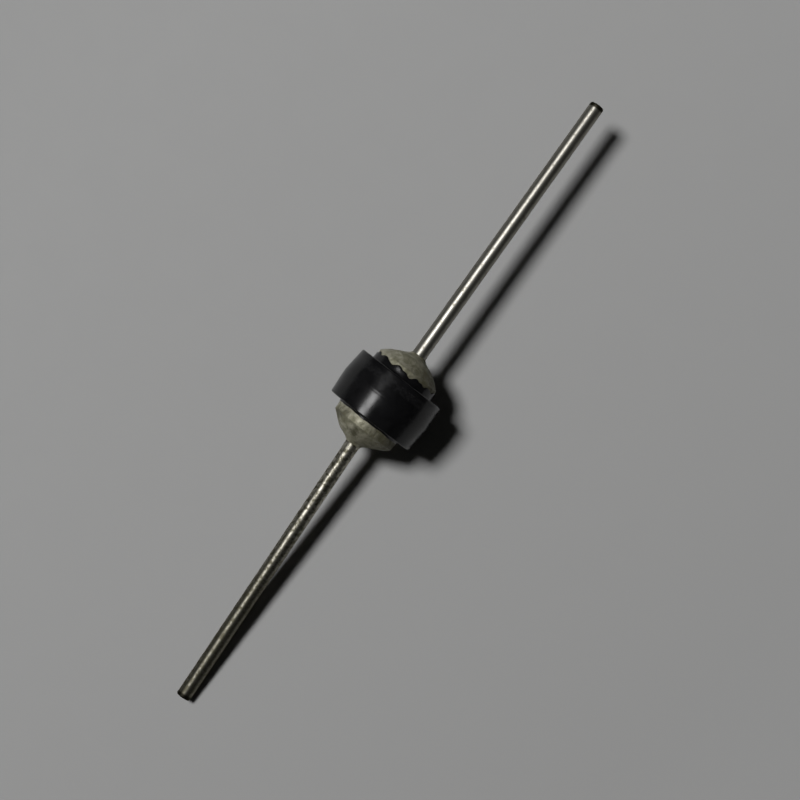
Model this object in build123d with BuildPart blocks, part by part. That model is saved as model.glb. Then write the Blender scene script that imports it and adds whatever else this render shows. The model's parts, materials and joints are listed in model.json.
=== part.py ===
from build123d import *

import math
import os

# An axial transient voltage suppressor: a silicon die soldered between two copper terminals,
# held in a moulded ring, with a tinned nail-head lead soldered to each terminal.
# It lies as it comes to rest on the plane z = 0: the ring on one drafted flank, the cut end of
# the anode lead on the surface. Both leads run along X, and the cathode is at the +X end.
# Lengths are in millimetres and angles in degrees. "Station" is a distance from the ring's
# middle plane, measured outwards along the ring's axis.

# ---- driving dimensions: moulded ring ----
ring_diameter = 8.45        # across the parting line
ring_length = 4.35          # between the two end faces
draft_angle = 5.0           # taper of each half, from the parting line to its end face
ring_edge_radius = 0.12

# ---- driving dimensions: terminals and the locking ribs round them ----
terminal_diameter = 5.64
terminal_face_station = 3.0
terminal_back_station = 0.55
pedestal_diameter = 4.0
groove_station = 1.35       # middle of the locking groove
groove_width = 0.7          # at the mouth
groove_depth = 0.24
groove_slope = 0.15         # axial run of each sloping groove wall

# ---- driving dimensions: die and its solder ----
die_side = 4.2
die_corner = 0.6
die_thickness = 0.28
die_solder_thickness = 0.06

# ---- driving dimensions: leads ----
lead_diameter = 1.28
cathode_lead_length = 25.6  # from the tip of the solder to the cut end
anode_lead_length = 25.2
head_station = 3.23         # middle of the head's underside
head_diameter = 3.6
head_thickness = 0.34
head_cone_length = 0.5
swell_diameter = 1.36       # the wire swells a little where its head was upset
swell_reach = 0.12          # how far past the tip of the solder the swell runs out
lead_tip_chamfer = 0.06

# ---- driving dimensions: solder of the leads ----
collar_diameter = 5.94      # solder round the edge of the terminal
rim_station = 3.12          # where the collar turns into the dome
rim_radius = 0.1
dome_bulge = 0.1            # rise of the dome over a straight cone
crown_station = 4.42        # where the dome ends beside the lead
crown_diameter = 1.76
solder_tip_station = 4.7
meniscus_diameter = 2.0     # foot of the solder that climbs the lead
meniscus_length = 0.42
meniscus_hollow = 0.05
meniscus_edge = 0.03        # height of its last edge over the plain lead

# ---- driving dimensions: pose at rest ----
ring_yaw = -3.3             # turn of the ring's axis from the X axis, seen from above
cathode_lead_yaw = -0.6
cathode_lead_rise = 0.5
anode_lead_yaw = 0.65

# ---- sizes worked out from the driving dimensions ----
mid_radius = ring_diameter / 2
half_length = ring_length / 2
end_radius = mid_radius - half_length * math.tan(math.radians(draft_angle))
terminal_radius = terminal_diameter / 2
pedestal_radius = pedestal_diameter / 2
pedestal_station = die_thickness / 2 + die_solder_thickness
lead_radius = lead_diameter / 2
head_radius = head_diameter / 2
collar_radius = collar_diameter / 2
crown_radius = crown_diameter / 2
buried_length = solder_tip_station - head_station


def direction(yaw, rise):
    """Unit vector at an angle from +X in plan and an angle above the horizontal."""
    level = math.cos(math.radians(rise))
    return Vector(
        level * math.cos(math.radians(yaw)),
        level * math.sin(math.radians(yaw)),
        math.sin(math.radians(rise)),
    )


def fall_to_surface(start_height, length):
    """Slope at which a lead from start_height touches z = 0 with the edge of its cut end."""
    touching_length = length - lead_tip_chamfer
    reach = math.hypot(touching_length, lead_radius)
    return math.degrees(math.asin(start_height / reach) - math.atan2(lead_radius, touching_length))


# The ring lies on a drafted flank, so its axis is pitched by the draft angle. Each lead is
# straight, but its head is soldered a few degrees out of square with its terminal.
axis_direction = direction(ring_yaw, draft_angle)
axis_normal = Vector(0, 0, 1).cross(axis_direction).normalized()
axis_height = mid_radius * math.cos(math.radians(draft_angle))
cathode_total = cathode_lead_length + buried_length
anode_total = anode_lead_length + buried_length
anode_lead_fall = fall_to_surface(axis_height - head_station * axis_direction.Z, anode_total)
cathode_lead_direction = direction(cathode_lead_yaw, cathode_lead_rise)
anode_lead_direction = direction(anode_lead_yaw, anode_lead_fall) * -1

# The ring stands where the middle of the box round both cut ends is over the origin.
cathode_reach = cathode_total * cathode_lead_direction.X
anode_reach = anode_total * -anode_lead_direction.X
ring_centre = Vector((anode_reach - cathode_reach) / 2, 0, axis_height)
ring_axis = Axis(ring_centre, axis_direction)

# Each end's sense along the ring's axis, and its lead's direction and length from the head.
ends = {
    "cathode": (1, cathode_lead_direction, cathode_total),
    "anode": (-1, anode_lead_direction, anode_total),
}


def section_plane(side):
    """Plane through the ring's axis: local X is the station on that side, local Y the radius."""
    return Plane(ring_centre, x_dir=axis_direction * side, z_dir=axis_normal)


def cross_plane(station):
    """Plane square to the ring's axis, facing the cathode end."""
    return Plane(ring_centre + axis_direction * station, x_dir=axis_normal, z_dir=axis_direction)


def lead_plane(side, lead_direction):
    """Plane through a lead's axis: local X starts under its head and runs to its cut end."""
    head_middle = ring_centre + axis_direction * side * head_station
    normal = Vector(0, 0, 1).cross(lead_direction)
    return Plane(head_middle, x_dir=lead_direction, z_dir=normal)


def lead_axis(side, lead_direction):
    """Axis of a lead, from the middle of its head's underside to its cut end."""
    return Axis(lead_plane(side, lead_direction).origin, lead_direction)


def groove_points(radius):
    """Corners of the locking groove in a terminal of this radius, from the back outwards."""
    start = groove_station - groove_width / 2
    end = groove_station + groove_width / 2
    floor = radius - groove_depth
    return [
        (start, radius),
        (start + groove_slope, floor),
        (end - groove_slope, floor),
        (end, radius),
    ]


def make_moulded_ring():
    """Epoxy ring, drafted both ways from its parting line, with a locking rib in each half."""
    ribs = groove_points(terminal_radius)
    outline = [
        (-half_length, end_radius),
        (0, mid_radius),
        (half_length, end_radius),
        (half_length, terminal_radius),
        *reversed(ribs),
        *[(-station, radius) for station, radius in ribs],
        (-half_length, terminal_radius),
    ]
    with BuildPart() as ring:
        with BuildSketch(section_plane(1)) as section:
            with BuildLine():
                Polyline(*outline, close=True)
            make_face()
            fillet(section.vertices().sort_by(Axis.Y)[-3:-1], radius=ring_edge_radius)
        revolve(axis=ring_axis)
    return ring


def make_terminal(side):
    """Copper slug: a pedestal towards the die, a locking groove and a flat outer face."""
    outline = [
        (pedestal_station, 0),
        (pedestal_station, pedestal_radius),
        (terminal_back_station, pedestal_radius),
        (terminal_back_station, terminal_radius),
        *groove_points(terminal_radius),
        (terminal_face_station, terminal_radius),
        (terminal_face_station, 0),
    ]
    with BuildPart() as terminal:
        with BuildSketch(section_plane(side)):
            with BuildLine():
                Polyline(*outline, close=True)
            make_face()
        revolve(axis=ring_axis)
    return terminal


def make_lead(side, lead_direction, total):
    """Straight round lead with a flat nail head, a slight swell and a square cut end."""
    outline = [
        (0, 0),
        (0, head_radius),
        (head_thickness, head_radius),
        (head_thickness + head_cone_length, swell_diameter / 2),
        (buried_length + swell_reach, lead_radius),
        (total - lead_tip_chamfer, lead_radius),
        (total, lead_radius - lead_tip_chamfer),
        (total, 0),
    ]
    with BuildPart() as lead:
        with BuildSketch(lead_plane(side, lead_direction)):
            with BuildLine():
                Polyline(*outline, close=True)
            make_face()
        revolve(axis=lead_axis(side, lead_direction))
    return lead


def make_lead_solder(side, lead_direction, lead):
    """Solder of one lead: a collar round the terminal, a dome, and a meniscus up the lead.

    The dome is round about the ring's axis and the meniscus about the lead's. The lead is cut
    out of both, which leaves a wedge of solder under its tilted head.
    """
    meniscus_start = buried_length - meniscus_length
    foot = (meniscus_start, meniscus_diameter / 2)
    edge = (buried_length, lead_radius + meniscus_edge)
    with BuildPart() as solder:
        with BuildSketch(section_plane(side)) as section:
            with BuildLine():
                Polyline(
                    (crown_station, crown_radius),
                    (crown_station, 0),
                    (terminal_face_station, 0),
                    (terminal_face_station, terminal_radius),
                    (half_length, terminal_radius),
                    (half_length, collar_radius),
                    (rim_station, collar_radius),
                )
                SagittaArc((rim_station, collar_radius), (crown_station, crown_radius), dome_bulge)
            make_face()
            rim = section.vertices().filter_by_position(Axis.X, rim_station, rim_station)
            fillet(rim, radius=rim_radius)
        revolve(axis=ring_axis)
        with BuildSketch(lead_plane(side, lead_direction)):
            with BuildLine():
                Polyline(edge, (buried_length, 0), (meniscus_start, 0), foot)
                SagittaArc(foot, edge, -meniscus_hollow)
            make_face()
        revolve(axis=lead_axis(side, lead_direction))
        add(lead.part, mode=Mode.SUBTRACT)
    return solder


def make_die():
    """Square silicon die with clipped corners."""
    with BuildPart() as die:
        with BuildSketch(cross_plane(-die_thickness / 2)) as outline:
            Rectangle(die_side, die_side)
            chamfer(outline.vertices(), length=die_corner)
        extrude(amount=die_thickness)
    return die


def make_die_solder(side):
    """Solder disc between the die and one terminal's pedestal."""
    with BuildPart() as solder:
        with BuildSketch(cross_plane(side * die_thickness / 2)):
            Circle(pedestal_radius)
        extrude(amount=side * die_solder_thickness)
    return solder


def make_junction_coating(die):
    """Silicone rubber that fills the ring's bore between the terminals, round the die."""
    with BuildPart() as coating:
        with BuildSketch(cross_plane(-terminal_back_station)):
            Circle(terminal_radius)
            Circle(pedestal_radius, mode=Mode.SUBTRACT)
        extrude(amount=2 * terminal_back_station)
        add(die.part, mode=Mode.SUBTRACT)
    return coating


# ---- build every piece and write one STEP file for each ----
silicon_die = make_die()
pieces = {
    "moulded_ring": make_moulded_ring(),
    "silicon_die": silicon_die,
    "junction_coating": make_junction_coating(silicon_die),
}
for end, (side, lead_direction, total) in ends.items():
    lead = make_lead(side, lead_direction, total)
    pieces[f"{end}_terminal"] = make_terminal(side)
    pieces[f"{end}_die_solder"] = make_die_solder(side)
    pieces[f"{end}_lead_solder"] = make_lead_solder(side, lead_direction, lead)
    pieces[f"{end}_lead"] = lead

os.makedirs("parts", exist_ok=True)
for name, piece in pieces.items():
    piece.part.label = name
    export_step(piece.part, f"parts/{name}.step")
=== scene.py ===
# %% [markdown]
# # An axial transient voltage suppressor
#
# The part is a moulded black ring that grips two copper terminals, with a silicon die between
# them. A stout tinned lead is soldered to each terminal. The solid model gives every piece and
# its place. This lesson gives the pieces their finish: smooth turned skins, uneven solder, a thin
# film of mould flash, and a material for each piece, down to those hidden inside.
#
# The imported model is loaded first, and nothing in it is moved.

import json
import math

import bmesh
import bpy
from mathutils import Matrix, Vector


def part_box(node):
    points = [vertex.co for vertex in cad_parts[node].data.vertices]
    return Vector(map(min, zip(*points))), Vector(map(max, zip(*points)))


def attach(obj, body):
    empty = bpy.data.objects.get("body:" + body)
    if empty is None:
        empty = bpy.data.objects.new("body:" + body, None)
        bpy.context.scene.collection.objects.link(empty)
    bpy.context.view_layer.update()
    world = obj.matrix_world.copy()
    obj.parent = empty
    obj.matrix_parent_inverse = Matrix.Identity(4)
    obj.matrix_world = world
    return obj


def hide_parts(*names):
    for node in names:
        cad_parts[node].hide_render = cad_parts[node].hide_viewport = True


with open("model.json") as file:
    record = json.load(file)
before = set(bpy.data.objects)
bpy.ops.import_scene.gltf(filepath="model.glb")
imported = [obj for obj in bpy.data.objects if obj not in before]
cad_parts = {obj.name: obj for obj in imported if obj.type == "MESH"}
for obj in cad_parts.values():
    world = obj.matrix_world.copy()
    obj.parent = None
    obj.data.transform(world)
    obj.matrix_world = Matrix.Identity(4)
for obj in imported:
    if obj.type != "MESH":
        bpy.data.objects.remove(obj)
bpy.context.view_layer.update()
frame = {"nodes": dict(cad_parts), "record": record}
print("solid pieces:", ", ".join(sorted(frame["nodes"])))

# %% [markdown]
# ## The lines that everything is turned about
#
# The ring lies on a tapered flank, so its axis is pitched up by the draft angle. Each lead is
# straight, but leaves the ring a few degrees out of line. The middle of the ring is the middle
# of its box, and the record's two mounts give the directions of the leads.
#
# A place on a turned piece is given by its station, which is a distance along the axis from the
# middle of the ring, and its radius. Both are in millimetres here.

# %% Axes and sizes
MM = 0.001
DRAFT = math.radians(5.0)
RING_YAW = math.radians(-3.3)
HEAD_STATION = 3.23
SOLDER_TIP_STATION = 4.7
LEAD_RADIUS = 0.64
LEAD_LENGTHS = {"cathode": 25.6, "anode": 25.2}

low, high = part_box("moulded_ring")
ring_centre = (Vector(low) + Vector(high)) / 2
ring_axis = Vector((
    math.cos(DRAFT) * math.cos(RING_YAW),
    math.cos(DRAFT) * math.sin(RING_YAW),
    math.sin(DRAFT),
))
lead_directions = {
    mount["name"].split("_")[0]: Vector(mount["axis"]).normalized()
    for mount in frame["record"]["mounts"]
}
sides = {"cathode": 1, "anode": -1}
lead_starts = {
    end: ring_centre + (ring_axis * side - lead_directions[end]) * HEAD_STATION * MM
    for end, side in sides.items()
}
for end, side in sides.items():
    askew = math.degrees(lead_directions[end].angle(ring_axis * side))
    print(f"{end} lead: {askew:.2f} degrees out of line with the ring")

# %% [markdown]
# ## Outlines
#
# Half of a turned piece's section is a line of points. `rounded` draws it from its corners, each
# with the radius of its rounding, and `finely` fills the straight runs, so that an uneven skin
# has enough points to be uneven with. `bowed` is a run that swells to one side.

# %% Helpers for outlines
def rounded(corners, steps=6):
    """Points of a line through corners (station, radius, rounding), with the roundings drawn."""
    points = []
    for index, (station, radius, rounding) in enumerate(corners):
        corner = Vector((station, radius))
        if rounding == 0 or index in (0, len(corners) - 1):
            points.append(corner)
            continue
        back = (Vector(corners[index - 1][:2]) - corner).normalized()
        ahead = (Vector(corners[index + 1][:2]) - corner).normalized()
        half = back.angle(ahead) / 2
        reach = rounding / math.tan(half)
        middle = corner + (back + ahead).normalized() * rounding / math.sin(half)
        start, end = corner + back * reach, corner + ahead * reach
        for step in range(steps + 1):
            share = step / steps
            spoke = (start - middle).lerp(end - middle, share).normalized()
            points.append(middle + spoke * rounding)
    return points


def finely(points, step):
    """The same line, with points no more than a step apart."""
    filled = [points[0]]
    for start, end in zip(points, points[1:]):
        count = max(1, math.ceil((end - start).length / step))
        filled += [start.lerp(end, k / count) for k in range(1, count + 1)]
    return filled


def bowed(start, end, rise, steps):
    """Points of a bowed run, whose middle stands off its chord on the left by the rise."""
    start, end = Vector(start), Vector(end)
    along = (end - start).normalized()
    left = Vector((-along.y, along.x))
    return [
        start.lerp(end, k / steps) + left * rise * 4 * (k / steps) * (1 - k / steps)
        for k in range(steps + 1)
    ]


print("a rounded corner has", len(rounded([(0, 0, 0), (1, 0, 0.2), (1, 1, 0)])) - 2, "points")

# %% [markdown]
# ## Wiring helpers
#
# Geometry Nodes and materials are both made of nodes and links. `put` adds a node and feeds it,
# and `calc` and `vector_calc` add one sum each, so that a tree reads like a calculation.

# %% Helpers for node trees
def put(tree, kind, feeds=None, **settings):
    """Adds a node with these settings, and feeds its inputs with values or other sockets."""
    node = tree.nodes.new(kind)
    for name, value in settings.items():
        setattr(node, name, value)
    for key, value in (feeds or {}).items():
        if isinstance(value, bpy.types.NodeSocket):
            tree.links.new(value, node.inputs[key])
        else:
            node.inputs[key].default_value = value
    return node


def calc(tree, operation, *values):
    """The result of one sum on numbers."""
    return put(tree, "ShaderNodeMath", dict(enumerate(values)), operation=operation).outputs[0]


def vector_calc(tree, operation, *values):
    """The result of one sum on vectors. A scale takes its factor second."""
    feeds = dict(enumerate(values))
    if operation == "SCALE":
        feeds = {0: values[0], "Scale": values[1]}
    node = put(tree, "ShaderNodeVectorMath", feeds, operation=operation)
    number = operation in ("DOT_PRODUCT", "LENGTH", "DISTANCE")
    return node.outputs["Value" if number else "Vector"]


def new_tree(name, kind, inputs, outputs):
    """A node group with named inputs (name, type, default) and outputs (name, type)."""
    tree = bpy.data.node_groups.new(name, kind)
    for label, socket_type, value in inputs:
        socket = tree.interface.new_socket(label, in_out="INPUT", socket_type=socket_type)
        if value is not None:
            socket.default_value = value
    for label, socket_type in outputs:
        tree.interface.new_socket(label, in_out="OUTPUT", socket_type=socket_type)
    given = tree.nodes.new("NodeGroupInput").outputs
    result = tree.nodes.new("NodeGroupOutput").inputs
    return tree, given, result

# %% [markdown]
# ## One tree that turns every skin
#
# A lathe could be copied with the Spin tool, but here the axis itself changes along a piece: the
# solder is round about the ring's axis at its rim and round about the tilted lead at its neck.
# So a Geometry Nodes tree lays a grid round the outline. One way along the grid follows the
# outline's points, and the other way goes round. Each point of the outline carries three marks:
# how much it follows the lead's axis instead of the ring's, how far it is exposed to unevenness,
# and how much it moves with a wavy edge.

# %% The turned skin tree
FLOAT, INTEGER, VECTOR = "NodeSocketFloat", "NodeSocketInt", "NodeSocketVector"
GEOMETRY, MATERIAL = "NodeSocketGeometry", "NodeSocketMaterial"
MARKS = ("lead_share", "exposure", "reach_share")

skin_tree, given, result = new_tree(
    "Turned skin",
    "GeometryNodeTree",
    [
        ("Outline", GEOMETRY, None),
        ("Ring Centre", VECTOR, None),
        ("Ring Axis", VECTOR, (1, 0, 0)),
        ("Lead Start", VECTOR, None),
        ("Lead Direction", VECTOR, (1, 0, 0)),
        ("Steps Round", INTEGER, 128),
        ("Wave Reach", FLOAT, 0.0),
        ("Wave Size", FLOAT, 0.001),
        ("Swell Height", FLOAT, 0.0),
        ("Swell Size", FLOAT, 0.001),
        ("Ripple Height", FLOAT, 0.0),
        ("Ripple Size", FLOAT, 0.001),
        ("Seed", FLOAT, 0.0),
        ("Material", MATERIAL, None),
    ],
    [("Skin", GEOMETRY)],
)


def on_outline(value, row, kind="FLOAT"):
    """What a value of the outline is at the point that this row of the grid stands for."""
    feeds = {"Geometry": given["Outline"], "Value": value, "Index": row}
    node = put(skin_tree, "GeometryNodeSampleIndex", feeds, data_type=kind, domain="POINT")
    return node.outputs[0]


def mark(name):
    """A mark that each point of the outline carries."""
    node = put(skin_tree, "GeometryNodeInputNamedAttribute", {"Name": name}, data_type="FLOAT")
    return node.outputs[0]


def mixed(start, end, share):
    """A point or a direction part of the way between two others."""
    span = vector_calc(skin_tree, "SUBTRACT", end, start)
    return vector_calc(skin_tree, "ADD", start, vector_calc(skin_tree, "SCALE", span, share))


def uneven(place, size, seed):
    """A smooth random number from about -1 to 1 that changes over this size."""
    spread = vector_calc(skin_tree, "SCALE", place, calc(skin_tree, "DIVIDE", 1.0, size))
    noise = put(
        skin_tree,
        "ShaderNodeTexNoise",
        {"Vector": spread, "W": seed, "Scale": 1.0, "Detail": 1.0, "Roughness": 0.5},
        noise_dimensions="4D",
    )
    return calc(skin_tree, "MULTIPLY_ADD", noise.outputs[0], 2.0, -1.0)


size = put(skin_tree, "GeometryNodeAttributeDomainSize", {"Geometry": given["Outline"]})
columns = calc(skin_tree, "ADD", given["Steps Round"], 1)
grid = put(
    skin_tree,
    "GeometryNodeMeshGrid",
    {"Vertices X": size.outputs["Point Count"], "Vertices Y": columns},
)
index = put(skin_tree, "GeometryNodeInputIndex").outputs[0]
row = calc(skin_tree, "FLOOR", calc(skin_tree, "DIVIDE", index, columns))
column = calc(skin_tree, "SUBTRACT", index, calc(skin_tree, "MULTIPLY", row, columns))
turn_share = calc(skin_tree, "DIVIDE", column, given["Steps Round"])
turn_angle = calc(skin_tree, "MULTIPLY", turn_share, 2 * math.pi)
cosine, sine = calc(skin_tree, "COSINE", turn_angle), calc(skin_tree, "SINE", turn_angle)

outline_place = on_outline(
    put(skin_tree, "GeometryNodeInputPosition").outputs[0], row, "FLOAT_VECTOR"
)
split = put(skin_tree, "ShaderNodeSeparateXYZ", {0: outline_place}).outputs
lead_share, exposure, reach_share = (on_outline(mark(name), row) for name in MARKS)
turned_spot = put(skin_tree, "ShaderNodeCombineXYZ", {0: cosine, 1: sine}).outputs[0]
wave_place = vector_calc(skin_tree, "SCALE", turned_spot, 0.003)
wave = uneven(wave_place, given["Wave Size"], given["Seed"])
wave_length = calc(
    skin_tree,
    "MULTIPLY",
    calc(skin_tree, "MULTIPLY_ADD", wave, 0.5, 0.5),
    calc(skin_tree, "MULTIPLY", given["Wave Reach"], reach_share),
)
station = calc(skin_tree, "ADD", split[0], wave_length)
along_ring = vector_calc(skin_tree, "SCALE", given["Ring Axis"], station)
on_ring_axis = vector_calc(skin_tree, "ADD", given["Ring Centre"], along_ring)
along_lead = vector_calc(skin_tree, "SCALE", given["Lead Direction"], station)
on_lead_axis = vector_calc(skin_tree, "ADD", given["Lead Start"], along_lead)
middle = mixed(on_ring_axis, on_lead_axis, lead_share)
blended_axis = mixed(given["Ring Axis"], given["Lead Direction"], lead_share)
along = vector_calc(skin_tree, "NORMALIZE", blended_axis)
level = vector_calc(
    skin_tree, "NORMALIZE", vector_calc(skin_tree, "CROSS_PRODUCT", Vector((0, 0, 1)), along)
)
upright = vector_calc(skin_tree, "CROSS_PRODUCT", along, level)
spoke = vector_calc(
    skin_tree,
    "ADD",
    vector_calc(skin_tree, "SCALE", level, cosine),
    vector_calc(skin_tree, "SCALE", upright, sine),
)
place = vector_calc(skin_tree, "ADD", middle, vector_calc(skin_tree, "SCALE", spoke, split[1]))

laid = put(
    skin_tree, "GeometryNodeSetPosition", {"Geometry": grid.outputs["Mesh"], "Position": place}
)
marked = put(
    skin_tree,
    "GeometryNodeStoreNamedAttribute",
    {"Geometry": laid.outputs[0], "Name": "exposure", "Value": exposure},
    data_type="FLOAT",
    domain="POINT",
)
closed = put(
    skin_tree, "GeometryNodeMergeByDistance", {"Geometry": marked.outputs[0], "Distance": 1e-7}
)
here = put(skin_tree, "GeometryNodeInputPosition").outputs[0]
swell = calc(
    skin_tree, "MULTIPLY", uneven(here, given["Swell Size"], given["Seed"]), given["Swell Height"]
)
ripple = calc(
    skin_tree, "MULTIPLY", uneven(here, given["Ripple Size"], given["Seed"]), given["Ripple Height"]
)
depth = calc(skin_tree, "ADD", given["Swell Height"], given["Ripple Height"])
change = calc(skin_tree, "SUBTRACT", calc(skin_tree, "ADD", swell, ripple), depth)
change = calc(skin_tree, "MULTIPLY", change, mark("exposure"))
turned_out = put(skin_tree, "GeometryNodeFlipFaces", {"Mesh": closed.outputs[0]})
outwards = put(skin_tree, "GeometryNodeInputNormal").outputs[0]
offset = vector_calc(skin_tree, "SCALE", outwards, change)
worn = put(
    skin_tree, "GeometryNodeSetPosition", {"Geometry": turned_out.outputs[0], "Offset": offset}
)
real = put(skin_tree, "GeometryNodeRealizeInstances", {"Geometry": worn.outputs[0]})
painted = put(
    skin_tree,
    "GeometryNodeSetMaterial",
    {"Geometry": real.outputs[0], "Material": given["Material"]},
)
skin_tree.links.new(painted.outputs[0], result["Skin"])
print("the turned skin tree has", len(skin_tree.nodes), "nodes")

# %% [markdown]
# ## Turning a piece
#
# The unevenness only ever takes material away, so a skin never grows out of the solid that it
# stands for. `turned` puts an outline through the tree, keeps the result as a plain mesh, and
# measures it. A closed skin has no open edges, and one that faces outwards has a volume above 0.

# %% Turning a piece
sockets = {item.name: item.identifier for item in skin_tree.interface.items_tree}


def turned(name, outline, material, sharp=40, end=None, **sizes):
    """A piece turned from outline points (station, radius, lead share, exposure, reach share)."""
    mesh = bpy.data.meshes.new(name)
    mesh.from_pydata(
        [(point[0] * MM, point[1] * MM, 0) for point in outline],
        [(k, k + 1) for k in range(len(outline) - 1)],
        [],
    )
    for place_in_point, label in enumerate(MARKS, start=2):
        values = mesh.attributes.new(label, "FLOAT", "POINT")
        values.data.foreach_set("value", [point[place_in_point] for point in outline])
    piece = bpy.data.objects.new(name, mesh)
    bpy.context.scene.collection.objects.link(piece)

    side = sides.get(end, 1)
    lead_direction = lead_directions.get(end, ring_axis)
    modifier = piece.modifiers.new("Turned skin", "NODES")
    modifier.node_group = skin_tree
    settings = {
        "Ring Centre": ring_centre,
        "Ring Axis": ring_axis * side,
        "Lead Start": lead_starts.get(end, ring_centre),
        "Lead Direction": lead_direction,
        "Material": material,
    }
    settings.update({label.replace("_", " ").title(): value for label, value in sizes.items()})
    for label, value in settings.items():
        modifier[sockets[label]] = value

    depsgraph = bpy.context.evaluated_depsgraph_get()
    finished = bpy.data.meshes.new_from_object(piece.evaluated_get(depsgraph), depsgraph=depsgraph)
    piece.modifiers.clear()
    piece.data = finished
    finished.name = name
    finished.shade_smooth()
    finished.set_sharp_from_angle(angle=math.radians(sharp))
    solid = bmesh.new()
    solid.from_mesh(finished)
    open_edges = sum(1 for edge in solid.edges if not edge.is_manifold)
    volume = solid.calc_volume(signed=True) / MM**3
    solid.free()
    print(f"{name}: {len(finished.polygons)} faces, {volume:.2f} mm3, {open_edges} open edges")
    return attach(piece, "root")


def marked_points(points, lead_share=0.0, exposure=0.0, reach_share=0.0):
    """Outline points with the same marks."""
    return [(p[0], p[1], lead_share, exposure, reach_share) for p in points]

# %% [markdown]
# ## Shared finishes
#
# Effects that several materials use are shader node groups: fine grain, soft patches, scratches
# along a drawn wire, and a place's station and radius, which lets a pattern follow the ring.

# %% Shared shader groups
def shader_group(name, inputs, outputs):
    """A shader node group with named inputs and outputs."""
    return new_tree(name, "ShaderNodeTree", inputs, outputs)


grain_group, given_grain, grain_result = shader_group(
    "Fine grain",
    [("Vector", VECTOR, None), ("Grains Per Metre", FLOAT, 8000.0), ("Pit Share", FLOAT, 0.3)],
    [("Height", FLOAT), ("Pits", FLOAT)],
)
fine_noise = put(
    grain_group,
    "ShaderNodeTexNoise",
    {"Vector": given_grain["Vector"], "Scale": given_grain["Grains Per Metre"], "Detail": 3.0},
)
cells = put(
    grain_group,
    "ShaderNodeTexVoronoi",
    {"Vector": given_grain["Vector"], "Scale": given_grain["Grains Per Metre"]},
)
pits = put(
    grain_group,
    "ShaderNodeMapRange",
    {"Value": cells.outputs["Distance"], "From Min": 0.0, "From Max": given_grain["Pit Share"]},
    interpolation_type="SMOOTHSTEP",
)
grain_height = calc(grain_group, "MULTIPLY", fine_noise.outputs[0], pits.outputs[0])
grain_group.links.new(grain_height, grain_result["Height"])
grain_group.links.new(pits.outputs[0], grain_result["Pits"])

patch_group, given_patch, patch_result = shader_group(
    "Soft patches",
    [
        ("Vector", VECTOR, None),
        ("Patches Per Metre", FLOAT, 900.0),
        ("Edge From", FLOAT, 0.35),
        ("Edge To", FLOAT, 0.65),
    ],
    [("Patch", FLOAT)],
)
patch_noise = put(
    patch_group,
    "ShaderNodeTexNoise",
    {
        "Vector": given_patch["Vector"],
        "Scale": given_patch["Patches Per Metre"],
        "Detail": 4.0,
        "Roughness": 0.6,
        "Distortion": 0.4,
    },
)
patch = put(
    patch_group,
    "ShaderNodeMapRange",
    {
        "Value": patch_noise.outputs[0],
        "From Min": given_patch["Edge From"],
        "From Max": given_patch["Edge To"],
    },
    interpolation_type="SMOOTHSTEP",
)
patch_group.links.new(patch.outputs[0], patch_result["Patch"])

scratch_group, given_scratch, scratch_result = shader_group(
    "Drawn scratches",
    [("Vector", VECTOR, None), ("Scratches Per Metre", FLOAT, 9000.0), ("Stretch", FLOAT, 0.04)],
    [("Height", FLOAT)],
)
stretch = put(scratch_group, "ShaderNodeCombineXYZ", {0: given_scratch["Stretch"], 1: 1.0, 2: 1.0})
stretched = vector_calc(scratch_group, "MULTIPLY", given_scratch["Vector"], stretch.outputs[0])
scratch_noise = put(
    scratch_group,
    "ShaderNodeTexNoise",
    {"Vector": stretched, "Scale": given_scratch["Scratches Per Metre"], "Detail": 2.0},
)
scratch_group.links.new(scratch_noise.outputs[0], scratch_result["Height"])

turning_group, given_turning, turning_result = shader_group(
    "Station and radius",
    [("Vector", VECTOR, None), ("Centre", VECTOR, None), ("Axis", VECTOR, (1, 0, 0))],
    [("Station", FLOAT), ("Radius", FLOAT)],
)
from_centre = vector_calc(turning_group, "SUBTRACT", given_turning["Vector"], given_turning["Centre"])
station_here = vector_calc(turning_group, "DOT_PRODUCT", from_centre, given_turning["Axis"])
foot = vector_calc(turning_group, "SCALE", given_turning["Axis"], station_here)
radius_here = vector_calc(turning_group, "DISTANCE", from_centre, foot)
turning_group.links.new(station_here, turning_result["Station"])
turning_group.links.new(radius_here, turning_result["Radius"])
print("shared shader groups:", len([g for g in bpy.data.node_groups if g.type == "SHADER"]))

# %% [markdown]
# ## Helpers for materials
#
# Every finish starts the same way: a Principled shader, and the place on the piece in Object
# coordinates, which are metres from the origin. `ranged` and `blend_colours` turn a pattern into
# a roughness or a colour, and `raise_bump` turns it into relief.

# %% Helpers for materials
def new_material(name, **constants):
    """A material, its tree, its Principled shader and its object coordinates."""
    material = bpy.data.materials.new(name)
    material.use_nodes = True
    tree = material.node_tree
    shader = tree.nodes["Principled BSDF"]
    for socket, value in constants.items():
        shader.inputs[socket.replace("_", " ")].default_value = value
    place = put(tree, "ShaderNodeTexCoord").outputs["Object"]
    return material, tree, shader, place


def use(tree, group, feeds):
    """Places a shared group in a material, with its own values."""
    return put(tree, "ShaderNodeGroup", feeds, node_tree=group).outputs


def blend_colours(tree, share, first, second):
    """A colour that goes from the first to the second with the share."""
    mix = put(tree, "ShaderNodeMix", data_type="RGBA")
    tree.links.new(share, mix.inputs[0])
    for socket, value in ((mix.inputs[6], first), (mix.inputs[7], second)):
        if isinstance(value, bpy.types.NodeSocket):
            tree.links.new(value, socket)
        else:
            socket.default_value = (*value, 1.0)
    return mix.outputs[2]


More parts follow.
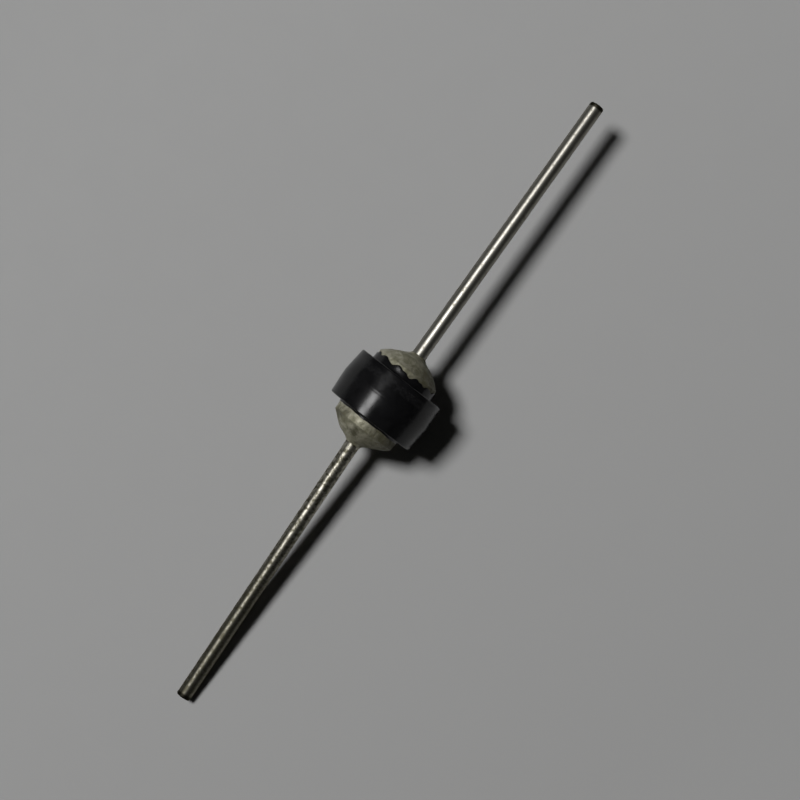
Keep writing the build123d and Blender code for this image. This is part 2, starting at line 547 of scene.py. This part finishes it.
def ranged(tree, value, low_in, high_in, low_out=0.0, high_out=1.0):
    """A value carried from one range to another, and held at its ends."""
    feeds = {"Value": value, 1: low_in, 2: high_in, 3: low_out, 4: high_out}
    return put(tree, "ShaderNodeMapRange", feeds).outputs[0]


def feed(tree, shader, **sources):
    """Links sources to the shader's sockets."""
    for socket, source in sources.items():
        tree.links.new(source, shader.inputs[socket.replace("_", " ")])


def raise_bump(tree, shader, height, distance, strength=1.0):
    """Bump from a height, as tall as the distance."""
    bump = put(tree, "ShaderNodeBump", {"Height": height, "Distance": distance, "Strength": strength})
    feed(tree, shader, Normal=bump.outputs[0])

# %% [markdown]
# ## Moulded epoxy
#
# The ring is black epoxy full of fine mineral powder. It is nearly black and smooth enough to
# show the lamp, with a fine grain and a few pits. A polarity band is printed round the cathode
# half, worn so thin that it hardly shows.

# %% Epoxy material
BAND_STATIONS = (1.02, 1.1, 1.66, 1.76)
BARE_END_RADII = (3.95, 4.0)

epoxy, tree, shader, place = new_material("moulded_epoxy", IOR=1.42)
turning = use(tree, turning_group, {"Vector": place, "Centre": ring_centre, "Axis": ring_axis})
grain = use(tree, grain_group, {"Vector": place, "Grains Per Metre": 11000.0, "Pit Share": 0.12})
patches = use(tree, patch_group, {"Vector": place, "Patches Per Metre": 700.0})
worn_print = use(
    tree,
    patch_group,
    {"Vector": place, "Patches Per Metre": 5200.0, "Edge From": 0.36, "Edge To": 0.66},
)
start_out, start_in, end_in, end_out = (value * MM for value in BAND_STATIONS)
band = calc(
    tree,
    "MULTIPLY",
    ranged(tree, turning["Station"], start_out, start_in),
    ranged(tree, turning["Station"], end_in, end_out, 1.0, 0.0),
)
on_flank = ranged(tree, turning["Radius"], *(radius * MM for radius in BARE_END_RADII))
band = calc(tree, "MULTIPLY", calc(tree, "MULTIPLY", band, on_flank), worn_print["Patch"])
body_colour = blend_colours(
    tree, patches["Patch"], (0.0026, 0.0026, 0.0029), (0.0048, 0.0048, 0.0052)
)
feed(
    tree,
    shader,
    Base_Color=blend_colours(tree, band, body_colour, (0.0095, 0.0095, 0.01)),
    Roughness=calc(
        tree,
        "ADD",
        ranged(tree, patches["Patch"], 0.0, 1.0, 0.18, 0.26),
        calc(tree, "MULTIPLY", band, 0.03),
    ),
)
raise_bump(tree, shader, grain["Height"], 0.003 * MM, 0.6)
print("epoxy:", len(tree.nodes), "nodes")

# %% [markdown]
# ## Tinned wire
#
# The leads are copper wire with a thin coat of tin. Drawing leaves fine lines along the wire. The
# last few tenths of a millimetre before each cut end are painted near-black as painted shade, where
# the end that the cutter pinched turns away from the light. The cathode lead keeps nearly one colour
# along its length. The anode lead's colour darkens from beside the solder outwards, and dull specks
# break up its shine. One function makes both, because only their colours and the share of the specks
# differ.

# %% Tinned wire materials
COLOUR_CHANGE_REACH = (4.0, 20.0)
PAINTED_SHADE_END_REACH = (0.42, 0.3)
PAINTED_SHADE_END_COLOUR = (0.03, 0.028, 0.02)


def tin_material(end, near_colour, far_colour, dull_colour, speck_edges):
    """Tin on a drawn wire, with lines that follow this end's lead, a colour that changes outwards,
    and painted shade at the cut end.
    """
    material, tree, shader, place = new_material(f"{end}_tinned_wire", Metallic=1.0)
    shader.inputs["Specular Tint"].default_value = (0.55, 0.54, 0.5, 1.0)
    turn_to_lead = lead_directions[end].to_track_quat("X", "Z").inverted().to_euler()
    on_lead = put(tree, "ShaderNodeMapping", {"Vector": place, "Rotation": turn_to_lead}).outputs[0]
    drawn = use(
        tree,
        scratch_group,
        {"Vector": on_lead, "Scratches Per Metre": 14000.0, "Stretch": 0.03},
    )
    speck_edge, speck_full = speck_edges
    specks = use(
        tree,
        patch_group,
        {
            "Vector": place,
            "Patches Per Metre": 3200.0,
            "Edge From": speck_edge,
            "Edge To": speck_full,
        },
    )
    grain = use(tree, grain_group, {"Vector": place, "Grains Per Metre": 16000.0, "Pit Share": 0.2})
    distance = put(tree, "ShaderNodeSeparateXYZ", {0: on_lead}).outputs[0]
    # The coat's colour goes from the colour beside the solder to the colour further out between these
    # reaches.
    outwards = ranged(tree, distance, *(reach * MM for reach in COLOUR_CHANGE_REACH))
    coat = blend_colours(tree, outwards, near_colour, far_colour)
    specked_coat = blend_colours(tree, specks["Patch"], coat, dull_colour)
    cut = lead_directions[end].dot(lead_starts[end])
    cut += (SOLDER_TIP_STATION + LEAD_LENGTHS[end]) * MM
    # Painted shade: the coat turns near-black over the last few tenths of a millimetre before the cut
    # end.
    painted_shade_end = ranged(tree, distance, *(cut - reach * MM for reach in PAINTED_SHADE_END_REACH))
    dull = calc(tree, "MAXIMUM", specks["Patch"], painted_shade_end)
    feed(
        tree,
        shader,
        Base_Color=blend_colours(tree, painted_shade_end, specked_coat, PAINTED_SHADE_END_COLOUR),
        Roughness=calc(
            tree,
            "ADD",
            ranged(tree, drawn["Height"], 0.3, 0.7, 0.34, 0.42),
            calc(tree, "MULTIPLY", dull, 0.12),
        ),
    )
    lines_and_grain = calc(tree, "MULTIPLY_ADD", grain["Height"], 0.35, drawn["Height"])
    raise_bump(tree, shader, lines_and_grain, 0.004 * MM, 0.5)
    return material


tin = {
    "cathode": tin_material(
        "cathode",
        near_colour=(0.35, 0.341, 0.307),
        far_colour=(0.34, 0.329, 0.292),
        dull_colour=(0.22, 0.208, 0.173),
        speck_edges=(0.5, 0.72),
    ),
    "anode": tin_material(
        "anode",
        near_colour=(0.62, 0.597, 0.514),
        far_colour=(0.22, 0.211, 0.173),
        dull_colour=(0.14, 0.131, 0.093),
        speck_edges=(0.38, 0.64),
    ),
}
print("tinned wire:", len(tin["anode"].node_tree.nodes), "nodes")

# %% [markdown]
# ## Dull solder
#
# The solder has aged to a beige grey. Old flux lies on it as a dark film in patches, and the side
# away from the lamp is painted with the same dark colour as painted shade. The relief has two sizes
# of lump and a fine grain, so that the shine on the rim breaks up.

# %% Solder material
PAINTED_SHADE_SIDE = (1.0, -2.4)

solder, tree, shader, place = new_material("dull_solder", Metallic=0.6)
mottle = use(tree, patch_group, {"Vector": place, "Patches Per Metre": 1500.0})
flux = use(
    tree,
    patch_group,
    {"Vector": place, "Patches Per Metre": 650.0, "Edge From": 0.5, "Edge To": 0.68},
)
grain = use(tree, grain_group, {"Vector": place, "Grains Per Metre": 9000.0, "Pit Share": 0.3})
sideways = put(tree, "ShaderNodeSeparateXYZ", {0: place}).outputs[1]
# Painted shade: the side towards -Y, away from the lamp, darkens to the flux colour.
painted_shade_side = ranged(tree, sideways, *(side * MM for side in PAINTED_SHADE_SIDE), 0.0, 0.88)
# The dark colour stands for real flux in patches and for painted shade on that side.
flux_and_painted_shade = calc(tree, "MAXIMUM", calc(tree, "MULTIPLY", flux["Patch"], 0.8), painted_shade_side)
metal_colour = blend_colours(tree, mottle["Patch"], (0.23, 0.223, 0.152), (0.42, 0.405, 0.315))
feed(
    tree,
    shader,
    Base_Color=blend_colours(tree, flux_and_painted_shade, metal_colour, (0.075, 0.07, 0.038)),
    Roughness=ranged(tree, mottle["Patch"], 0.0, 1.0, 0.66, 0.46),
)
lumps = use(
    tree,
    patch_group,
    {"Vector": place, "Patches Per Metre": 2600.0, "Edge From": 0.25, "Edge To": 0.75},
)
lumpy_height = calc(tree, "MULTIPLY_ADD", lumps["Patch"], 0.6, mottle["Patch"])
uneven_height = calc(tree, "MULTIPLY_ADD", grain["Height"], 0.25, lumpy_height)
raise_bump(tree, shader, uneven_height, 0.05 * MM, 0.65)
print("solder:", len(tree.nodes), "nodes")

# %% [markdown]
# ## The moulded ring
#
# Each half tapers from the parting line, so that the ring comes out of its two-part mould. A
# hair-thin ridge marks where the halves of the mould met. Inside, a rib in each half fills the
# groove of its terminal.

# %% Ring outline and piece
MID_RADIUS = 4.225
HALF_LENGTH = 2.175
END_RADIUS = MID_RADIUS - HALF_LENGTH * math.tan(DRAFT)
RING_EDGE_RADIUS = 0.12
TERMINAL_RADIUS = 2.82
GROOVE_FLOOR = TERMINAL_RADIUS - 0.24
GROOVE = [
    (1.0, TERMINAL_RADIUS),
    (1.15, GROOVE_FLOOR),
    (1.55, GROOVE_FLOOR),
    (1.7, TERMINAL_RADIUS),
]
RIDGE = [(0.09, 0.0), (0.05, 0.009), (0.022, 0.006)]


def flank_radius(station):
    """Radius of the tapered flank."""
    return MID_RADIUS - abs(station) * math.tan(DRAFT)


def half_outside(side):
    """Corners of one half's outside, from the parting line to the bore."""
    ridge = [(side * s, flank_radius(s) - sink, 0) for s, sink in reversed(RIDGE)]
    end_face = [
        (side * HALF_LENGTH, END_RADIUS, RING_EDGE_RADIUS),
        (side * HALF_LENGTH, TERMINAL_RADIUS, 0.0),
    ]
    return ridge + end_face


right_half = half_outside(1)
left_half = half_outside(-1)
outside_corners = list(reversed(left_half)) + [(0, MID_RADIUS, 0)] + right_half
outside = finely(rounded(outside_corners, steps=8), 0.09)
bore_corners = (
    [(HALF_LENGTH, TERMINAL_RADIUS)]
    + list(reversed(GROOVE))
    + [(-s, r) for s, r in GROOVE]
    + [(-HALF_LENGTH, TERMINAL_RADIUS)]
)
bore = finely([Vector(corner) for corner in bore_corners], 0.25)
ring_outline = [
    (point.x, point.y, 0.0, min(1.0, max(0.0, (point.y - 3.2) / 0.4)), 0.0) for point in outside
]
ring_outline += marked_points(bore[1:])
moulded_ring = turned(
    "moulded_ring_body",
    ring_outline,
    epoxy,
    sharp=30,
    steps_round=256,
    swell_height=0.006 * MM,
    swell_size=1.6 * MM,
    ripple_height=0.0012 * MM,
    ripple_size=0.3 * MM,
    seed=3.0,
)
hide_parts("moulded_ring")

# %% [markdown]
# ## Solder
#
# Solder wets the edge of the terminal as a collar, rises as a dome over the head of the lead,
# and climbs the lead a little way. It sets uneven. The dome is round about the ring's axis and
# the neck about the lead's, so the share of the lead's axis grows from rim to neck.

# %% Solder outline and pieces
COLLAR_RADIUS = 2.95
RIM_STATION = 3.1
TERMINAL_FACE_STATION = 3.0
CROWN = (4.3, 1.05)
NECK_END = (4.54, 0.682)
HEAD_RADIUS = 1.8
HEAD = [(3.57, HEAD_RADIUS), (4.07, 0.68)]


def smooth_share(value, low_end, high_end):
    """A share that goes smoothly from 0 to 1 between two ends."""
    share = min(1.0, max(0.0, (value - low_end) / (high_end - low_end)))
    return share * share * (3 - 2 * share)


rim_corner = [(HALF_LENGTH, COLLAR_RADIUS, 0), (RIM_STATION, COLLAR_RADIUS, 0.16), (*CROWN, 0)]
collar = [p for p in finely(rounded(rim_corner), 0.06) if p.x < RIM_STATION + 0.06]
dome = bowed(collar[-1], CROWN, 0.12, 34)
neck = bowed(CROWN, NECK_END, -0.03, 10)
inside = [
    (TERMINAL_FACE_STATION, 0),
    (TERMINAL_FACE_STATION, TERMINAL_RADIUS),
    (HALF_LENGTH, TERMINAL_RADIUS),
]
solder_outline = marked_points(finely([Vector(p) for p in inside], 0.3))
for point in collar + dome[1:] + neck[1:]:
    bare = smooth_share(point.x, HALF_LENGTH, HALF_LENGTH + 0.6)
    thin = 1 - 0.85 * smooth_share(point.x, 4.15, 4.5)
    solder_outline.append((point.x, point.y, smooth_share(point.x, 3.3, 4.3), bare * thin, 0.0))
pocket = [
    (NECK_END[0], 0.665),
    *reversed(HEAD),
    (HEAD_STATION, HEAD_RADIUS),
    (HEAD_STATION, 0),
]
solder_outline += marked_points(finely([Vector(p) for p in pocket], 0.3), lead_share=1.0)

for number, end in enumerate(sides):
    lead_solder = turned(
        f"{end}_solder_dome",
        solder_outline,
        solder,
        sharp=50,
        end=end,
        steps_round=192,
        swell_height=0.05 * MM,
        swell_size=1.3 * MM,
        ripple_height=0.018 * MM,
        ripple_size=0.35 * MM,
        seed=11.0 + 5 * number,
    )
    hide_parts(f"{end}_lead_solder")

# %% [markdown]
# ## Leads
#
# A lead is a straight wire with a flat head like a nail's, which the solder hides. It swells a
# little behind the head, and its cut end is square with a lightly broken edge. The anode lead has
# had rougher handling, so its skin is more uneven.

# %% Lead outlines and pieces
lead_swell = {"cathode": 0.004, "anode": 0.007}
lead_ripple = {"cathode": 0.0012, "anode": 0.0028}

for number, (end, exposed_length) in enumerate(LEAD_LENGTHS.items()):
    cut_end = SOLDER_TIP_STATION + exposed_length
    corners = [
        (HEAD_STATION, 0.0, 0),
        (HEAD_STATION, HEAD_RADIUS, 0),
        *[(*corner, 0) for corner in HEAD],
        (SOLDER_TIP_STATION + 0.12, LEAD_RADIUS, 0),
        (cut_end - 0.1, LEAD_RADIUS, 0.08),
        (cut_end, LEAD_RADIUS - 0.06, 0.02),
        (cut_end - 0.02, 0.0, 0),
    ]
    lead_outline = []
    for point in finely(rounded(corners, steps=4), 0.12):
        bare = smooth_share(point.x, 4.6, 5.1) * smooth_share(point.y, 0.3, 0.55)
        lead_outline.append((point.x, point.y, 1.0, bare, 0.0))
    lead = turned(
        f"{end}_tinned_lead",
        lead_outline,
        tin[end],
        sharp=35,
        end=end,
        steps_round=72,
        swell_height=lead_swell[end] * MM,
        swell_size=1.5 * MM,
        ripple_height=lead_ripple[end] * MM,
        ripple_size=0.4 * MM,
        seed=31.0 + 7 * number,
    )
    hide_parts(f"{end}_lead")

# %% [markdown]
# ## Mould flash
#
# Where the mould closed on the terminals, a film of epoxy crept out over their rims before it
# set. It is as thin as paint and its edge wanders, far out at the cathode end and hardly at all at
# the anode end. The same tree makes it, with an outline whose outer points move with the wave.

# %% Flash outline and pieces
flash_reach = {"cathode": 1.0, "anode": 0.2}
flash_outline = [
    (2.1, 2.83, 0.0, 0.0, 0.0),
    (2.1, 3.05, 0.0, 0.0, 0.0),
    (2.19, 3.015, 0.0, 0.0, 0.0),
    (2.21, 2.992, 0.0, 0.0, 0.25),
    (2.22, 2.986, 0.0, 0.0, 0.55),
    (2.23, 2.982, 0.0, 0.0, 0.8),
    (2.24, 2.974, 0.0, 0.0, 0.95),
    (2.25, 2.96, 0.0, 0.0, 1.0),
    (2.25, 2.9, 0.0, 0.0, 1.0),
    (2.18, 2.85, 0.0, 0.0, 0.4),
    (2.1, 2.83, 0.0, 0.0, 0.0),
]
for number, (end, reach) in enumerate(flash_reach.items()):
    flash = turned(
        f"{end}_mould_flash",
        flash_outline,
        epoxy,
        sharp=60,
        end=end,
        steps_round=320,
        wave_reach=reach * MM,
        wave_size=0.95 * MM,
        seed=51.0 + 9 * number,
    )

# %% [markdown]
# ## Pieces that the ring hides
#
# The terminals, the die, its two layers of solder and its coating can't be seen until the part
# is taken apart, but each still has its own finish.

# %% Terminal copper
copper, tree, shader, place = new_material("terminal_copper", Metallic=1.0)
turning = use(tree, turning_group, {"Vector": place, "Centre": ring_centre, "Axis": ring_axis})
tarnish = use(tree, patch_group, {"Vector": place, "Patches Per Metre": 900.0})
tool_rings = put(
    tree,
    "ShaderNodeTexNoise",
    {"W": calc(tree, "MULTIPLY", turning["Radius"], 16000.0), "Scale": 1.0, "Detail": 2.0},
    noise_dimensions="1D",
)
feed(
    tree,
    shader,
    Base_Color=blend_colours(tree, tarnish["Patch"], (0.78, 0.4, 0.26), (0.52, 0.25, 0.16)),
    Roughness=ranged(tree, tarnish["Patch"], 0.0, 1.0, 0.28, 0.5),
)
raise_bump(tree, shader, tool_rings.outputs[0], 0.01 * MM)
print("terminal copper:", len(tree.nodes), "nodes")

# %% [markdown]
# The die is sawn from a polished slice of silicon, and the saw's lines show in its shine. The
# solder on its faces is grey and freckled. The coating is cloudy white silicone rubber.

# %% Silicon, die solder and silicone
silicon, tree, shader, place = new_material("polished_silicon", Metallic=0.6)
sawn = use(tree, scratch_group, {"Vector": place, "Scratches Per Metre": 9000.0, "Stretch": 0.2})
clouding = use(tree, patch_group, {"Vector": place, "Patches Per Metre": 1200.0})
feed(
    tree,
    shader,
    Base_Color=blend_colours(tree, clouding["Patch"], (0.13, 0.13, 0.16), (0.19, 0.19, 0.22)),
    Roughness=ranged(tree, sawn["Height"], 0.3, 0.7, 0.12, 0.35),
)
raise_bump(tree, shader, sawn["Height"], 0.003 * MM)

die_solder, tree, shader, place = new_material("die_solder", Metallic=0.9)
freckles = use(tree, patch_group, {"Vector": place, "Patches Per Metre": 3500.0})
grain = use(tree, grain_group, {"Vector": place, "Grains Per Metre": 12000.0})
feed(
    tree,
    shader,
    Base_Color=blend_colours(tree, freckles["Patch"], (0.45, 0.45, 0.44), (0.62, 0.62, 0.6)),
    Roughness=ranged(tree, freckles["Patch"], 0.0, 1.0, 0.5, 0.32),
)
raise_bump(tree, shader, grain["Height"], 0.006 * MM)

silicone, tree, shader, place = new_material("junction_silicone", IOR=1.41)
cloudy = use(tree, patch_group, {"Vector": place, "Patches Per Metre": 1100.0})
grain = use(tree, grain_group, {"Vector": place, "Grains Per Metre": 5000.0})
feed(
    tree,
    shader,
    Base_Color=blend_colours(tree, cloudy["Patch"], (0.66, 0.65, 0.62), (0.76, 0.75, 0.72)),
    Roughness=ranged(tree, cloudy["Patch"], 0.0, 1.0, 0.35, 0.5),
)
raise_bump(tree, shader, grain["Height"], 0.008 * MM)
print("silicone:", len(tree.nodes), "nodes")

# %% [markdown]
# ## The solid pieces' own finishes
#
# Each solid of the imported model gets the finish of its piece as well, so that it looks right when
# it is shown without its skin.

# %% Finishes of the solids
solid_finishes = {
    "cathode_terminal": copper,
    "anode_terminal": copper,
    "silicon_die": silicon,
    "cathode_die_solder": die_solder,
    "anode_die_solder": die_solder,
    "junction_coating": silicone,
    "moulded_ring": epoxy,
    "cathode_lead_solder": solder,
    "anode_lead_solder": solder,
    "cathode_lead": tin["cathode"],
    "anode_lead": tin["anode"],
}
for node, material in solid_finishes.items():
    slots = frame["nodes"][node].data.materials
    slots.clear()
    slots.append(material)
print("finished solid nodes:", len(solid_finishes))

# %% [markdown]
# ## Floor
#
# The part lies on plain matt grey paper. Its colour is painted a little lighter towards the lamp and
# darker away from it, as painted light falloff, and its fibres give it the faintest mottle.

# %% Floor
FLOOR_HALF = 2.5
AWAY_FROM_LAMP = Vector((-0.1735, -0.9848, 0.0))
PAINTED_FALLOFF_REACH = 0.035

floor_mesh = bpy.data.meshes.new("floor")
sheet = bmesh.new()
bmesh.ops.create_grid(sheet, x_segments=8, y_segments=8, size=FLOOR_HALF)
sheet.to_mesh(floor_mesh)
sheet.free()
floor = bpy.data.objects.new("floor", floor_mesh)
bpy.context.scene.collection.objects.link(floor)
paper, tree, shader, place = new_material("grey_paper", Roughness=0.95, Specular_IOR_Level=0.1)
fibres = use(
    tree,
    patch_group,
    {"Vector": place, "Patches Per Metre": 260.0, "Edge From": 0.2, "Edge To": 0.8},
)
# Painted light falloff: the paper's colour darkens away from the lamp.
away_from_lamp = vector_calc(tree, "DOT_PRODUCT", place, AWAY_FROM_LAMP)
painted_lamp_falloff = ranged(tree, away_from_lamp, -PAINTED_FALLOFF_REACH, PAINTED_FALLOFF_REACH)
plain = blend_colours(tree, painted_lamp_falloff, (0.326, 0.326, 0.324), (0.274, 0.274, 0.272))
mottling = ranged(tree, fibres["Patch"], 0.0, 1.0, 0.0, 0.08)
feed(tree, shader, Base_Color=blend_colours(tree, mottling, plain, (0.26, 0.26, 0.26)))
floor_mesh.materials.append(paper)
print("floor, m:", 2 * FLOOR_HALF, "square")

# %% [markdown]
# ## Camera
#
# The camera looks steeply down at the part, turned so that the leads run from the lower left to
# the upper right, with the cathode at the upper right. Its lens is worked out from how wide a
# view it takes in at the part.

# %% Camera
CAMERA_TURN = math.radians(55.213)
CAMERA_TILT = math.radians(84.0)
CAMERA_DISTANCE = 0.22
SENSOR_WIDTH = 36.0
VIEW_WIDTH = 66.1157 * MM
TARGET = Vector((0.357, -0.986, 4.209)) * MM

picture_right = Vector((math.cos(CAMERA_TURN), -math.sin(CAMERA_TURN), 0))
picture_away = Vector((math.sin(CAMERA_TURN), math.cos(CAMERA_TURN), 0))
looking = picture_away * math.cos(CAMERA_TILT) - Vector((0, 0, math.sin(CAMERA_TILT)))
picture_up = picture_right.cross(looking)
camera_data = bpy.data.cameras.new("camera")
camera_data.sensor_width = SENSOR_WIDTH
camera_data.lens = SENSOR_WIDTH * CAMERA_DISTANCE / VIEW_WIDTH
camera_data.clip_start = 0.01
camera = bpy.data.objects.new("camera", camera_data)
turn = Matrix((picture_right, picture_up, -looking)).transposed().to_4x4()
camera.matrix_world = Matrix.Translation(TARGET - looking * CAMERA_DISTANCE) @ turn
bpy.context.scene.collection.objects.link(camera)
bpy.context.scene.camera = camera
print(f"lens {camera_data.lens:.1f} mm")

# %% [markdown]
# ## Light
#
# A key lamp high on the left throws the shadows. A sun lamp with a wide angle does this well,
# because it lights the whole floor evenly and still blurs the shadows' edges. It is hidden from
# reflections, where it would show as a hard round spot.

# %% Key lamp
def in_room(right, away, up):
    """A direction given as the camera sees the table: right, away and up."""
    return (picture_right * right + picture_away * away + Vector((0, 0, up))).normalized()


def aimed(lamp, direction, distance):
    """Puts a lamp in this direction from the ring, facing it."""
    lamp.location = ring_centre + direction * distance
    lamp.rotation_mode = "QUATERNION"
    lamp.rotation_quaternion = direction.to_track_quat("Z", "Y")
    bpy.context.scene.collection.objects.link(lamp)
    return lamp


key_data = bpy.data.lights.new("key_lamp", "SUN")
key_data.angle = math.radians(14.0)
key_data.energy = 3.3
key_direction = in_room(-0.394, 0.225, 0.891)
key = aimed(bpy.data.objects.new("key_lamp", key_data), key_direction, 0.5)
key.visible_glossy = False
print(f"the key lamp leans {math.degrees(math.acos(key_direction.z)):.1f} degrees")

# %% [markdown]
# What a glossy round piece shows is a stretched reflection of its lamp. So a soft panel beside the
# key lamp, with its long side along the leads, is what the ring and the leads reflect. Diffuse
# rays don't see it, so it adds nothing to the floor.

# %% Soft panel
PANEL_DISTANCE = 0.3
PANEL_HALF_ANGLES = (10.0, 8.0)
PANEL_BRIGHTNESS = 11.0
ALONG_LEADS = math.radians(50.6)

panel_data = bpy.data.lights.new("soft_panel", "AREA")
panel_data.shape = "RECTANGLE"
panel_data.size, panel_data.size_y = (
    2 * PANEL_DISTANCE * math.tan(math.radians(half_angle)) for half_angle in PANEL_HALF_ANGLES
)
panel_data.energy = PANEL_BRIGHTNESS * math.pi * panel_data.size * panel_data.size_y
panel = bpy.data.objects.new("soft_panel", panel_data)
panel_direction = in_room(-0.42, 0.065, 0.905)
along_leads = in_room(math.cos(ALONG_LEADS), math.sin(ALONG_LEADS), 0)
across = panel_direction.cross(along_leads).normalized()
along_panel = across.cross(panel_direction)
panel_turn = Matrix((along_panel, across, panel_direction)).transposed().to_4x4()
panel.matrix_world = Matrix.Translation(ring_centre + panel_direction * PANEL_DISTANCE) @ panel_turn
bpy.context.scene.collection.objects.link(panel)
panel.visible_diffuse = False
print("panel, mm:", round(panel_data.size / MM), "by", round(panel_data.size_y / MM))

# %% [markdown]
# The two leads point a little differently, so the panel that lights one barely shows in the
# other. A copy of it, tipped towards the cathode lead, lights that lead alone. Light linking keeps
# its reflection off the ring and the solder.

# %% Panel for the cathode lead
CARD_TIP = math.radians(16.0)
CARD_GAIN = 1.2

card = panel.copy()
card.data = panel_data.copy()
card.data.energy *= CARD_GAIN
card.name = card.data.name = "cathode_lead_panel"
card.matrix_world = Matrix.Rotation(CARD_TIP, 4, across) @ panel.matrix_world
bpy.context.scene.collection.objects.link(card)
lit_by_card = bpy.data.collections.new("lit_by_the_cathode_lead_panel")
lit_by_card.objects.link(bpy.data.objects["cathode_tinned_lead"])
card.light_linking.receiver_collection = lit_by_card

# %% [markdown]
# The room is dim, which keeps the shadows deep and gives the leads their dark sides. It is a
# little lighter near the horizon.

# %% Room
world = bpy.data.worlds.new("dim_room")
bpy.context.scene.world = world
world.use_nodes = True
tree = world.node_tree
room_place = put(tree, "ShaderNodeTexCoord").outputs["Generated"]
height = put(tree, "ShaderNodeSeparateXYZ", {0: room_place}).outputs[2]
horizon = ranged(tree, height, 0.1, 0.2, 1.0, 0.0)
room_colour = blend_colours(tree, horizon, (0.014, 0.014, 0.0135), (0.03, 0.03, 0.029))
tree.links.new(room_colour, tree.nodes["Background"].inputs["Color"])
bpy.context.scene.view_settings.view_transform = "Standard"
print("lamps:", len(bpy.data.lights))
